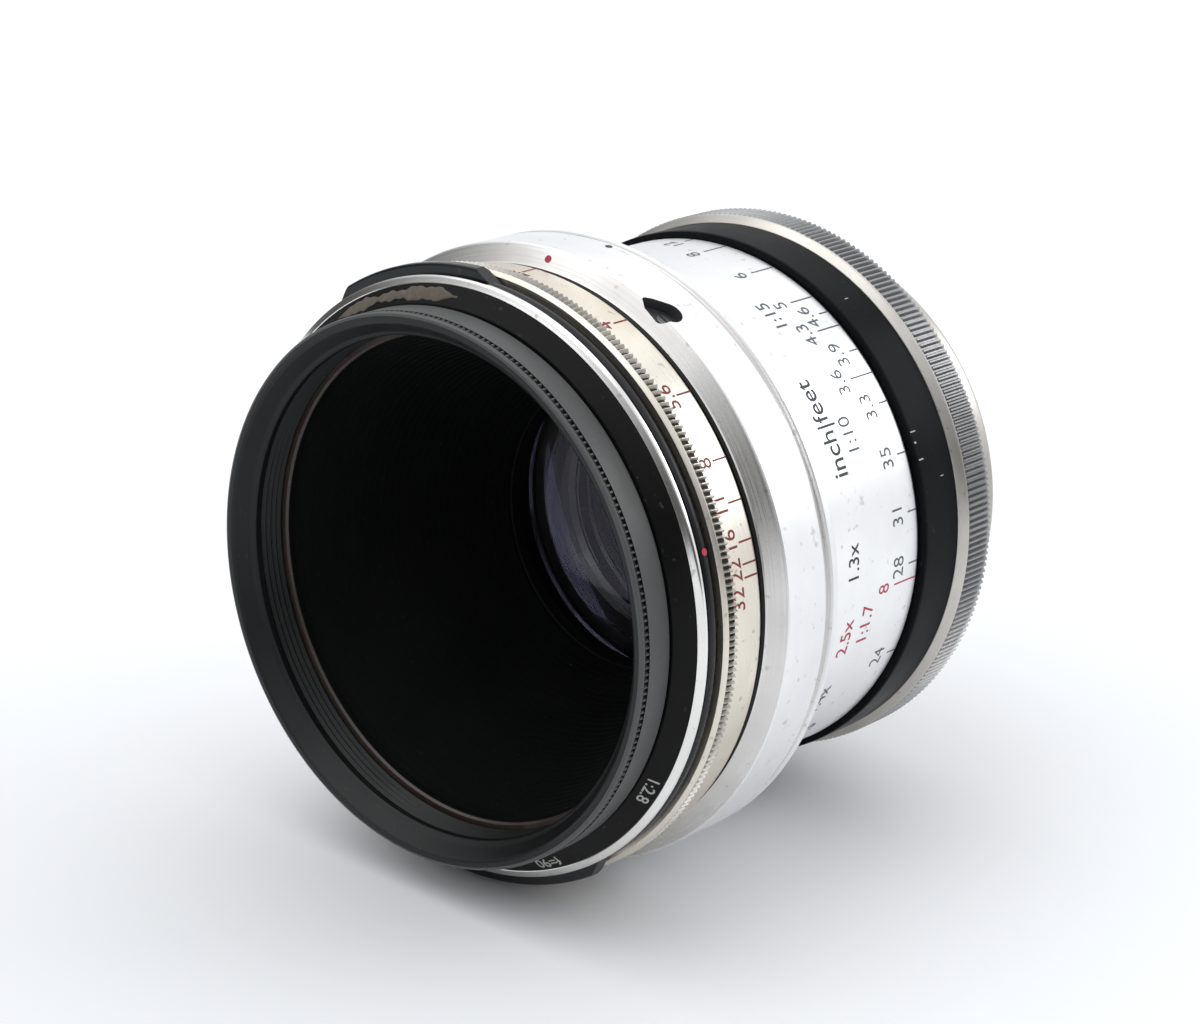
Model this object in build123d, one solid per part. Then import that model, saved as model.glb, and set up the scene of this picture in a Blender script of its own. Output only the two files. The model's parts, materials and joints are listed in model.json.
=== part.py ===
from build123d import *

import math
import os

# Preset macro lens of 90 mm focal length, f/2.8, with a two-stage focusing helicoid.
# The lens axis is the Y axis. The front rim faces -Y and the camera is on the +Y side. The origin is the
# centre of the mounting face that seats on the camera, and +Z is the side of the aperture index. All sizes
# are in millimetres. Each separate piece is written to its own STEP file.

os.makedirs("parts", exist_ok=True)

# Lengths along the axis of the pieces seen outside, from the front rim to the mounting face.
step_ring_length = 4.65
seat_gap = 0.1
name_ring_length = 2.2
stop_ring_gap = 0.15
stop_ring_length = 1.65
preset_ring_gap = 0.2
preset_ring_length = 6.8
band_gap = 0.65
band_length = 9.7
sleeve_gap = 0.3
scale_tube_length = 20.5
base_band_length = 6.1
clamp_ring_length = 5.6
adapter_length = 7.1
mount_thread_length = 4.5

# The nest of focusing tubes, from the inside out.
head_bore = 24.9
helicoid_wall = 1.2
helicoid_clearance = 0.1
base_tube_wall = 1.25
scale_tube_gap = 0.2
scale_tube_wall = 1.05

# How far the other outside surfaces stand above the scale tube.
base_step = 0.75
clamp_step = 1.05
preset_step = 2.7
knurl_step = 0.8
lip_step = 3.6
lug_step = 3.9
band_step = 4.35

# Front pieces.
filter_bevel = 2.1
step_thread_wall = 1.1
trim_width = 0.8
name_bevel_depth = 1.45
ring_running_gap = 0.08
barrel_wall = 1.6
hood_wall = 0.6
hood_step = 0.7
bezel_radius = 16.5
lug_angle = 44.0
lug_centre = 18.0

# Camera mount, a 42 mm thread of 1 mm pitch drawn as a plain spigot.
mount_thread_radius = 20.95
mount_bore = 19.2
mount_plate = 1.4
adapter_wall = 0.75
flange_thickness = 0.8
clamp_lip = 0.5
clamp_lip_gap = 0.45

# Keys that stop the head from turning.
key_count = 3
key_width = 2.6
key_depth = 0.75
key_clearance = 0.1
guide_ring_length = 1.2
tube_front_step = 2.0
base_tube_tail = 2.2

# Glass and its cells.
glass_clearance = 0.1
front_glass_radius = 17.6
front_glass_thickness = 5.0
front_glass_bulge = 3.4
middle_glass_radius = 15.2
middle_glass_thickness = 1.9
middle_front_hollow = 0.7
middle_rear_hollow = 1.5
rear_glass_radius = 13.5
rear_negative_thickness = 1.6
rear_negative_hollow = 0.8
cement_curve = 2.0
rear_positive_thickness = 4.6
rear_positive_bulge = 1.3
cell_wall = 2.6
retainer_width = 1.3
retainer_length = 0.9

# Iris.
blade_count = 10
iris_opening = 13.65
blade_inner = 13.75
blade_width = 4.8
blade_span = 132.0
blade_thickness = 0.1
blade_pitch = 0.16
pivot_circle = 19.1
pivot_pin_radius = 0.4
pivot_clearance = 0.06
ear_radius = 0.85
drive_ring_length = 0.9
drive_ring_outer = 20.0
iris_space = 0.15
housing_wall = 1.2
iris_plate = 0.9
stop_down_turn = 76.0
link_radius = 0.4
slot_margin = 4.0
link_angle = 200.0
drive_sleeve_wall = 0.6
drive_sleeve_gap = 1.0

# Small fasteners.
band_screw_angle = 26.4
band_screw_radius = 0.9
band_recess_radius = 1.5
band_recess_depth = 1.2
sleeve_screw_radius = 0.7
sleeve_screw_count = 3
click_ball_radius = 0.6

# Radii that follow from the nest of tubes.
head_tube_radius = head_bore + helicoid_wall
sleeve_bore = head_tube_radius + helicoid_clearance
sleeve_radius = sleeve_bore + helicoid_wall
base_tube_bore = sleeve_radius + helicoid_clearance
base_tube_radius = base_tube_bore + base_tube_wall
scale_bore = base_tube_radius + scale_tube_gap
scale_radius = scale_bore + scale_tube_wall
base_radius = scale_radius + base_step
clamp_radius = base_radius + clamp_step
preset_radius = scale_radius + preset_step
lip_radius = scale_radius + lip_step
lug_radius = scale_radius + lug_step
band_radius = scale_radius + band_step
adapter_bore = head_tube_radius + scale_tube_gap
adapter_radius = adapter_bore + adapter_wall
trim_inner = preset_radius - trim_width

# Radii of the front pieces and the rings that turn on the front barrel.
bearing_radius = scale_radius
barrel_bore = bearing_radius - barrel_wall
filter_bore = barrel_bore - step_thread_wall - seat_gap
hood_mouth = filter_bore - hood_step

# Places along the axis, worked forward from the mounting face.
adapter_front = -adapter_length
clamp_front = adapter_front - clamp_ring_length
base_front = clamp_front - base_band_length
scale_rear = base_front - sleeve_gap
scale_front = scale_rear - scale_tube_length
band_rear = scale_front - sleeve_gap
band_front = band_rear - band_length
preset_rear = band_front - band_gap
preset_front = preset_rear - preset_ring_length
stop_rear = preset_front - preset_ring_gap
stop_front = stop_rear - stop_ring_length
name_rear = stop_front - stop_ring_gap
name_front = name_rear - name_ring_length
step_rear = name_front - seat_gap
front_rim = step_rear - step_ring_length

# Places inside.
sleeve_rear = clamp_front + base_tube_tail + seat_gap * 5
guide_front = sleeve_rear + seat_gap
guide_rear = guide_front + guide_ring_length
base_tube_front = scale_front + tube_front_step
base_tube_rear = clamp_front + base_tube_tail
head_tube_rear = -mount_plate - scale_tube_gap * 3
flange_front = adapter_front - clamp_lip - flange_thickness

# The optical block hangs from the head tube behind the hood.
cell_front = band_rear + 5.7
front_glass_place = cell_front + 1.0
front_shoulder = front_glass_place + front_glass_thickness
middle_glass_place = front_shoulder + 1.1
middle_edge_front = middle_glass_place - middle_front_hollow
middle_edge_rear = middle_glass_place + middle_glass_thickness + middle_rear_hollow
cell_rear = middle_edge_rear + retainer_length
drive_ring_front = cell_rear + iris_space
drive_ring_rear = drive_ring_front + drive_ring_length
blades_front = drive_ring_rear + iris_space
blades_rear = blades_front + blade_pitch * blade_count
plate_front = blades_rear + iris_space / 2
plate_rear = plate_front + iris_plate
housing_radius = drive_ring_outer + glass_clearance + housing_wall
housing_rear = plate_rear + iris_plate
rear_glass_place = housing_rear + rear_negative_hollow
rear_cement_place = rear_glass_place + rear_negative_thickness
rear_glass_rear = rear_cement_place + rear_positive_thickness
rear_edge_rear = rear_glass_rear - rear_positive_bulge
rear_cell_rear = rear_glass_rear + retainer_length
drive_sleeve_bore = housing_radius + drive_sleeve_gap
drive_sleeve_radius = drive_sleeve_bore + drive_sleeve_wall
drive_front_radius = barrel_bore - scale_tube_gap
drive_sleeve_front = name_rear + 0.5
hood_flange_rear = name_rear + scale_tube_gap


def turned(outline):
    """A full ring or disc about the axis, from (place along the axis, radius) corners."""
    corners = [(radius, place) for place, radius in outline]
    return revolve(make_face(Polyline(*corners, close=True)), axis=Axis.Y)


def ring(front, rear, inner, outer):
    """A plain ring between two places and two radii."""
    return turned([(front, inner), (front, outer), (rear, outer), (rear, inner)])


def turned_by(solid, angle):
    """The solid turned about the axis. An angle of 0 is up, and it grows towards +X."""
    return solid.rotate(Axis.Y, angle)


def ring_sector(front, rear, inner, outer, centre, width):
    """Part of a plain ring, width degrees wide, centred on the given angle."""
    corners = [(inner, front), (outer, front), (outer, rear), (inner, rear)]
    section = make_face(Polyline(*corners, close=True))
    sector = revolve(section, axis=Axis.Y, revolution_arc=width)
    middle = sector.center(CenterOf.MASS)
    found = math.degrees(math.atan2(middle.X, middle.Z))
    return turned_by(sector, centre - found)


def radial_pin(place, inner, outer, radius, angle):
    """A round pin that points outward from the axis at the given angle."""
    plane = Plane(origin=(0, place, inner), z_dir=(0, 0, 1))
    pin = extrude(plane * Circle(radius), amount=outer - inner)
    return turned_by(pin, angle)


def glass_curve(start, end, radius, bulge, rim_first):
    """One face of an element, a circular arc about the axis, or a straight line if it has no bulge."""
    if bulge == 0:
        return Line(start, end)
    centre, rim = (end, start) if rim_first else (start, end)
    sphere = (radius**2 + bulge**2) / (2 * abs(bulge))
    half_rise = sphere - math.sqrt(sphere**2 - (radius / 2) ** 2)
    way = 1 if rim[1] > centre[1] else -1
    return ThreePointArc(start, (radius / 2, centre[1] + way * half_rise), end)


def glass(front, thickness, radius, front_bulge, rear_bulge):
    """A lens element. A bulge is how far a face stands out at its centre, and a hollow is negative."""
    rear = front + thickness
    front_edge, rear_edge = front + front_bulge, rear - rear_bulge
    face = make_face(
        [
            glass_curve((0, front), (radius, front_edge), radius, front_bulge, False),
            Line((radius, front_edge), (radius, rear_edge)),
            glass_curve((radius, rear_edge), (0, rear), radius, rear_bulge, True),
            Line((0, rear), (0, front)),
        ]
    )
    return revolve(face, axis=Axis.Y)


def keys(front, rear, inner, outer, width):
    """Straight bars along the axis, evenly spaced."""
    bar = Pos(0, (front + rear) / 2, (inner + outer) / 2) * Box(width, rear - front, outer - inner)
    return [turned_by(bar, 360 / key_count * index) for index in range(key_count)]


def cut(solid, tools):
    """The solid with each of the tools cut out of it."""
    for tool in tools:
        solid = solid - tool
    return solid


def write(name, shape):
    """Writes one piece to its own file."""
    export_step(shape, "parts/" + name + ".step")


def camera_side():
    """The fixed pieces: the camera mount, the clamp ring and the base barrel with its helicoid."""
    adapter = turned(
        [
            (flange_front, adapter_bore),
            (flange_front, base_radius - base_step),
            (flange_front + flange_thickness, base_radius - base_step),
            (flange_front + flange_thickness, adapter_radius),
            (-flange_thickness / 2, adapter_radius),
            (0, adapter_radius - flange_thickness / 2),
            (0, mount_thread_radius),
            (mount_thread_length - flange_thickness / 2, mount_thread_radius),
            (mount_thread_length, mount_thread_radius - flange_thickness / 2),
            (mount_thread_length, mount_bore),
            (-mount_plate, mount_bore),
            (-mount_plate, adapter_bore),
        ]
    )
    write("mount_adapter", adapter)

    thread_radius = base_radius - base_step * 1.5
    clamp = turned(
        [
            (clamp_front, thread_radius),
            (clamp_front, base_radius),
            (clamp_front + clamp_step * 0.75, clamp_radius),
            (adapter_front - clamp_lip, clamp_radius),
            (adapter_front, clamp_radius - clamp_lip),
            (adapter_front, adapter_radius + clamp_lip_gap),
            (adapter_front - clamp_lip, adapter_radius + clamp_lip_gap),
            (adapter_front - clamp_lip, base_radius - base_step),
            (flange_front, base_radius - base_step),
            (flange_front, thread_radius),
        ]
    )
    write("clamp_ring", clamp)

    barrel = turned(
        [
            (base_front, base_tube_radius),
            (base_front, base_radius - seat_gap * 2),
            (base_front + seat_gap * 2, base_radius),
            (clamp_front, base_radius),
            (clamp_front, thread_radius),
            (flange_front, thread_radius),
            (flange_front, base_tube_bore),
            (base_tube_rear, base_tube_bore),
            (base_tube_rear, base_tube_radius),
        ]
    )
    grooves = keys(base_tube_front - 1, 0, base_tube_bore - 1, base_tube_bore + key_depth + key_clearance,
                   key_width + 2 * key_clearance)
    write("base_barrel", cut(barrel, grooves))
    tube = ring(base_tube_front, base_tube_rear, base_tube_bore, base_tube_radius)
    write("base_helicoid", cut(tube, grooves))

    baffle = turned(
        [
            (mount_plate, mount_bore),
            (mount_thread_length - seat_gap, mount_bore),
            (mount_thread_length - seat_gap, mount_bore - 0.6),
            (mount_plate + 0.6, mount_bore - 0.6),
            (mount_plate + 0.6, mount_bore - 2.2),
            (mount_plate, mount_bore - 2.2),
        ]
    )
    write("rear_baffle", baffle)


def straight_guide():
    """The ring that keeps the head from turning, with its short outer keys and long inner bars."""
    body = ring(guide_front, guide_rear, sleeve_bore, sleeve_radius)
    outer_keys = keys(guide_front, guide_rear, sleeve_radius - 0.3, sleeve_radius + key_depth, key_width)
    bars = keys(base_tube_front, guide_rear, head_tube_radius - key_depth, head_tube_radius, key_width)
    links = keys(guide_front, guide_rear, head_tube_radius, sleeve_bore + 0.3, key_width)
    for key in outer_keys + links:
        body = body + key
    write("guide_ring", body)
    write("guide_bars", Compound(children=[Solid(bar.solid().wrapped) for bar in bars]))


def focusing_sleeve():
    """The turning sleeve: the scale tube outside, the middle helicoid inside, and their screws."""
    web_rear = scale_front + tube_front_step - 0.5
    tube = turned(
        [
            (scale_front, sleeve_radius),
            (scale_front, lip_radius - 0.4),
            (scale_front + 0.4, lip_radius),
            (scale_front + 0.9, lip_radius),
            (scale_front + 1.3, lip_radius - 0.4),
            (scale_front + 1.3, scale_radius),
            (scale_rear, scale_radius),
            (scale_rear, scale_bore),
            (web_rear, scale_bore),
            (web_rear, sleeve_radius),
        ]
    )
    helicoid = ring(scale_front, sleeve_rear, sleeve_bore, sleeve_radius)
    screws = []
    for index in range(sleeve_screw_count):
        angle = 360 / sleeve_screw_count * index + 60
        place = scale_front + 0.85
        screws.append(radial_pin(place, sleeve_radius - 0.7, lip_radius - 1.5, sleeve_screw_radius, angle))
        hole = radial_pin(place, sleeve_radius - 0.7, lip_radius + 1, sleeve_screw_radius, angle)
        tube = tube - hole
        helicoid = helicoid - hole
    write("scale_tube", tube)
    write("middle_helicoid", helicoid)
    write("sleeve_screws", Compound(children=[Solid(screw.solid().wrapped) for screw in screws]))


def front_rings():
    """The pieces at the front of the head: step ring, name ring, trim, front barrel and hood."""
    step_ring = turned(
        [
            (front_rim, bearing_radius - 0.35),
            (front_rim + 0.35, bearing_radius),
            (step_rear - 0.3, bearing_radius),
            (step_rear, bearing_radius - 0.3),
            (step_rear, barrel_bore),
            (name_rear - retainer_length, barrel_bore),
            (name_rear - retainer_length, filter_bore),
            (front_rim + filter_bevel, filter_bore),
            (front_rim, bearing_radius - 1.2),
        ]
    )
    write("step_ring", step_ring)

    name_ring = turned(
        [
            (name_front, barrel_bore),
            (name_front, bearing_radius - 0.1),
            (name_front + name_bevel_depth, trim_inner),
            (name_rear, trim_inner),
            (name_rear, barrel_bore),
        ]
    )
    write("name_ring", name_ring)

    trim = turned(
        [
            (name_front + name_bevel_depth, trim_inner),
            (name_front + name_bevel_depth + 0.4, preset_radius),
            (name_rear, preset_radius),
            (name_rear, trim_inner),
        ]
    )
    write("trim_ring", trim)

    barrel = turned(
        [
            (name_rear, barrel_bore),
            (name_rear, bearing_radius),
            (band_front, bearing_radius),
            (band_front, bearing_radius - 0.8),
            (band_rear, bearing_radius - 0.8),
            (band_rear, barrel_bore),
        ]
    )
    link_place = (stop_front + stop_rear) / 2
    slot_half = link_radius + seat_gap
    slot = ring_sector(link_place - slot_half, link_place + slot_half, barrel_bore - 1, bearing_radius + 1,
                       link_angle - stop_down_turn / 2, stop_down_turn + slot_margin)
    ball_place = (preset_front + preset_rear) / 2
    ball_seat = bearing_radius - click_ball_radius - seat_gap
    pocket = radial_pin(ball_place, barrel_bore + 0.3, bearing_radius + 1, click_ball_radius + 0.05, 90)
    write("front_barrel", cut(barrel, [slot, pocket]))
    write("click_ball", turned_by(Pos(0, ball_place, ball_seat) * Sphere(click_ball_radius), 90))

    hood_rear = cell_front - seat_gap
    hood = turned(
        [
            (name_rear - retainer_length + seat_gap, hood_mouth),
            (name_rear - retainer_length + seat_gap, barrel_bore),
            (hood_flange_rear, barrel_bore),
            (hood_flange_rear, hood_mouth + hood_wall),
            (hood_rear, bezel_radius + scale_tube_gap + hood_wall),
            (hood_rear, bezel_radius + scale_tube_gap),
            (hood_flange_rear, hood_mouth),
        ]
    )
    write("hood_cone", hood)


def index_band():
    """The wide band that carries the aperture index, with its grub screw in a drop-shaped recess."""
    bore = bearing_radius - 0.8
    bevel_rear = band_front + 1.6
    band = turned(
        [
            (band_front, bore),
            (band_front, preset_radius - 0.6),
            (band_front + 0.5, preset_radius - 0.3),
            (bevel_rear, band_radius),
            (band_rear - 1.9, band_radius),
            (band_rear - 1.6, band_radius - 0.55),
            (band_rear - 0.9, band_radius - 0.55),
            (band_rear - 0.6, band_radius),
            (band_rear - 0.2, band_radius),
            (band_rear, band_radius - 0.2),
            (band_rear, bore),
        ]
    )
    screw_place = bevel_rear + 1.0
    floor = band_radius - band_recess_depth
    recess = radial_pin(screw_place, floor, band_radius + 1, band_recess_radius, band_screw_angle)
    tail_turn = math.degrees(band_recess_radius / band_radius)
    for step in range(1, 3):
        tail_radius = band_recess_radius * (1 - 0.25 * step)
        tail = radial_pin(screw_place - 0.35 * step, floor, band_radius + 1, tail_radius,
                          band_screw_angle - tail_turn * 0.6 * step)
        recess = recess + tail
    screw = radial_pin(screw_place, bore, floor + 0.1, band_screw_radius, band_screw_angle)
    slot = radial_pin(screw_place, floor - 0.3, floor + 1, band_screw_radius + 0.2, band_screw_angle)
    blade = Pos(0, screw_place, floor) * Box(3 * band_screw_radius, 0.3, 0.6)
    write("index_band", cut(band, [recess, screw]))
    write("band_screw", screw - (slot & turned_by(blade, band_screw_angle)))


def head_tube():
    """The inner helicoid of the head, with grooves for the guide bars, and the optical carrier."""
    tube = turned(
        [
            (band_rear - 2.1, head_bore),
            (band_rear - 2.1, barrel_bore),
            (band_rear, barrel_bore),
            (band_rear, head_tube_radius),
            (head_tube_rear, head_tube_radius),
            (head_tube_rear, head_bore),
        ]
    )
    groove_front = band_rear + key_clearance
    grooves = keys(groove_front, 0, head_tube_radius - key_depth - key_clearance, head_tube_radius + 1,
                   key_width + 2 * key_clearance)
    write("head_helicoid", cut(tube, grooves))
    carrier_front = plate_front + seat_gap * 2
    write("optic_carrier", ring(carrier_front, housing_rear, housing_radius, head_bore))
    write("carrier_lock_ring", ring(housing_rear, housing_rear + 1.5, head_bore - 2.2, head_bore))


def optics():
    """The four glass elements, their cells and the rings that hold them."""
    cell_outer = drive_ring_outer + glass_clearance
    front_bore = front_glass_radius + glass_clearance
    middle_bore = middle_glass_radius + glass_clearance
    cell = turned(
        [
            (cell_front, front_bore),
            (cell_front, cell_outer),
            (cell_rear, cell_outer),
            (cell_rear, middle_bore),
            (middle_edge_front, middle_bore),
            (middle_edge_front, middle_bore - 0.6),
            (front_shoulder, middle_bore - 0.6),
            (front_shoulder, front_bore),
        ]
    )
    write("front_cell", cell)
    bezel_rear = front_glass_place + front_glass_bulge * 0.75
    write("front_bezel", ring(cell_front + seat_gap * 2, bezel_rear, bezel_radius, front_bore))
    write("front_element", glass(front_glass_place, front_glass_thickness, front_glass_radius,
                                 front_glass_bulge, 0))
    write("middle_element", glass(middle_glass_place, middle_glass_thickness, middle_glass_radius,
                                  -middle_front_hollow, -middle_rear_hollow))
    write("middle_retainer", ring(middle_edge_rear, cell_rear, iris_opening + seat_gap, middle_bore))

    rear_bore = rear_glass_radius + glass_clearance
    rear_cell = turned(
        [
            (plate_rear, iris_opening - 0.9),
            (plate_rear, cell_outer),
            (housing_rear, cell_outer),
            (housing_rear, rear_bore + cell_wall),
            (rear_cell_rear, rear_bore + cell_wall),
            (rear_cell_rear, rear_bore),
            (housing_rear, rear_bore),
            (housing_rear, iris_opening - 0.9),
        ]
    )
    write("rear_cell", rear_cell)
    write("rear_negative", glass(rear_glass_place, rear_negative_thickness, rear_glass_radius,
                                 -rear_negative_hollow, -cement_curve))
    write("rear_positive", glass(rear_cement_place, rear_positive_thickness, rear_glass_radius,
                                 cement_curve, rear_positive_bulge))
    write("rear_retainer", ring(rear_glass_rear, rear_cell_rear, rear_bore - retainer_width, rear_bore))


def iris():
    """The iris: its housing, the drive ring, the blades, and the linkage to the stop-down ring."""
    pin_place = (drive_ring_front + drive_ring_rear) / 2
    drive_ring = ring(drive_ring_front, drive_ring_rear, iris_opening + seat_gap * 2, drive_ring_outer)
    pin = radial_pin(pin_place, drive_ring_outer - 1.5, drive_sleeve_radius, link_radius, link_angle)
    write("iris_drive_ring", drive_ring - pin)
    write("iris_drive_pin", pin & ring(drive_ring_front, drive_ring_rear, 0, drive_sleeve_radius))

    sleeve = turned(
        [
            (drive_sleeve_front, drive_front_radius - drive_sleeve_wall),
            (drive_sleeve_front, drive_front_radius),
            (preset_rear, drive_front_radius),
            (band_rear - 4, drive_sleeve_radius),
            (drive_ring_rear, drive_sleeve_radius),
            (drive_ring_rear, drive_sleeve_bore),
            (band_rear - 4, drive_sleeve_bore),
            (preset_rear, drive_front_radius - drive_sleeve_wall),
        ]
    )
    link_place = (stop_front + stop_rear) / 2
    link = radial_pin(link_place, drive_front_radius - drive_sleeve_wall, bearing_radius + 1.2,
                      link_radius, link_angle)
    write("iris_drive_sleeve", cut(sleeve, [pin, link]))
    write("stop_down_screw", link)

    stop_ring = turned(
        [
            (stop_front, bearing_radius + ring_running_gap),
            (stop_front, preset_radius - 0.2),
            (stop_front + 0.2, preset_radius),
            (stop_rear - 0.2, preset_radius),
            (stop_rear, preset_radius - 0.2),
            (stop_rear, bearing_radius + ring_running_gap),
        ]
    )
    for centre in (-lug_centre, 180 - lug_centre):
        lug = ring_sector(stop_front, stop_rear, preset_radius - 1, lug_radius, centre, lug_angle)
        stop_ring = stop_ring + lug
    write("stop_down_ring", stop_ring - link)

    preset_ring = turned(
        [
            (preset_front, bearing_radius + ring_running_gap),
            (preset_front, preset_radius - 0.4 + knurl_step),
            (preset_front + 0.4, preset_radius + knurl_step),
            (preset_front + 2.2, preset_radius + knurl_step),
            (preset_front + 2.5, preset_radius - 0.1),
            (preset_rear - 0.3, preset_radius - 0.1),
            (preset_rear, preset_radius - 0.4),
            (preset_rear, bearing_radius + ring_running_gap),
        ]
    )
    write("preset_ring", preset_ring)

    pivots = []
    for index in range(blade_count):
        angle = 360 / blade_count * index
        pivots.append(turned_by(axis_pin(plate_front - 1, plate_rear + 1, pivot_pin_radius
                                         + pivot_clearance), angle))
        place = blades_front + blade_pitch * index
        write("iris_blade_" + str(index + 1).zfill(2), turned_by(blade(place), angle))

    wall = ring(cell_rear, housing_rear, drive_ring_outer + glass_clearance, housing_radius)
    plate = ring(plate_front, plate_rear, iris_opening, drive_ring_outer + glass_clearance)
    slot = ring_sector(drive_ring_front - iris_space / 2, drive_ring_rear + iris_space / 2,
                       drive_ring_outer - 1, housing_radius + 1,
                       link_angle - stop_down_turn / 2, stop_down_turn + slot_margin)
    write("iris_housing", cut(wall + plate, pivots + [slot]))


def axis_pin(front, rear, radius):
    """A pin parallel to the axis, on the circle of the blade pivots, at the top."""
    plane = Plane(origin=(0, front, pivot_circle), z_dir=(0, 1, 0))
    return extrude(plane * Circle(radius), amount=rear - front)


def blade(place):
    """One crescent blade, wide open, with its pivot at the top and its tail towards -X."""
    rear = place + blade_thickness
    outer = blade_inner + blade_width
    crescent = ring_sector(place, rear, blade_inner, outer, -blade_span / 2, blade_span)
    ear_plane = Plane(origin=(0, place, pivot_circle), z_dir=(0, 1, 0))
    ear = extrude(ear_plane * Circle(ear_radius), amount=blade_thickness)
    neck_length = pivot_circle - blade_inner - blade_width / 2
    neck = Pos(0, (place + rear) / 2, pivot_circle - neck_length / 2) * Box(
        2 * ear_radius, blade_thickness, neck_length)
    pin = axis_pin(rear, plate_rear - seat_gap, pivot_pin_radius)
    return crescent + ear + neck + pin


camera_side()
straight_guide()
focusing_sleeve()
front_rings()
index_band()
head_tube()
optics()
iris()
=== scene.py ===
import json
import math

import bmesh
import bpy
from mathutils import Matrix, Vector

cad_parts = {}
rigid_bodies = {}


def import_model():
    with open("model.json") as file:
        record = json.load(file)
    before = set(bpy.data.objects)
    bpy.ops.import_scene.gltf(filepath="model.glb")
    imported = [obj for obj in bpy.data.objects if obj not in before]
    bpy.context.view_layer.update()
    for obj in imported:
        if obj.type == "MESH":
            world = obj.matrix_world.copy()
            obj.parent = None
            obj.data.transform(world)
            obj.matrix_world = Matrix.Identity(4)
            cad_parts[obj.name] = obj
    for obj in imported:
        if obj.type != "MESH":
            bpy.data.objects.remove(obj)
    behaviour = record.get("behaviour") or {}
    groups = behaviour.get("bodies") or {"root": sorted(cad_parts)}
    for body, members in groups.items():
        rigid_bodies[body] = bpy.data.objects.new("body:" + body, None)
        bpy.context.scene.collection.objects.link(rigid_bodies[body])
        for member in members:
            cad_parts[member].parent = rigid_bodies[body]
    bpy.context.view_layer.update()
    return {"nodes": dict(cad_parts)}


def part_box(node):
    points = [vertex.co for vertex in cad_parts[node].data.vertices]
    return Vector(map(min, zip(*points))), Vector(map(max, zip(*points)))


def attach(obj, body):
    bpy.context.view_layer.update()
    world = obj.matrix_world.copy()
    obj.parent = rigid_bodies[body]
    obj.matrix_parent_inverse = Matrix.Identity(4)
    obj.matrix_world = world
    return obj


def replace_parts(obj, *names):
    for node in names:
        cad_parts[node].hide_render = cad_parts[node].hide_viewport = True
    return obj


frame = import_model()
nodes = frame["nodes"]
print("frame loaded", len(nodes), "nodes")

mm = 0.001


def boxOf(name):
    # lowest and highest corner of a CAD node, as vectors
    low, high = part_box(name)
    return Vector(low), Vector(high)


def radiusOf(name):
    low, high = boxOf(name)
    return (high.x - low.x) / 2


# the camera comes first, as the framing decides how large details show

cameraPlace = {
    "location": (0.2044, -0.2841, 0.1186),
    "right": (0.75564, 0.65270, 0.05468),
    "up": (-0.26204, 0.22475, 0.93852),
    "forward": (-0.60028, 0.72351, -0.34086),
    "lens": 92.49,
}


def makeCamera(place):
    data = bpy.data.cameras.new("camera")
    data.lens = place["lens"]
    data.sensor_width = 36
    data.clip_start = 0.01
    camera = bpy.data.objects.new("camera", data)
    right, up, forward = (Vector(place[key]) for key in ("right", "up", "forward"))
    turn = Matrix((right, up, -forward)).transposed()
    camera.matrix_world = Matrix.Translation(place["location"]) @ turn.to_4x4()
    bpy.context.scene.collection.objects.link(camera)
    bpy.context.scene.camera = camera


makeCamera(cameraPlace)


# materials, all procedural on Object coordinates

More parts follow.
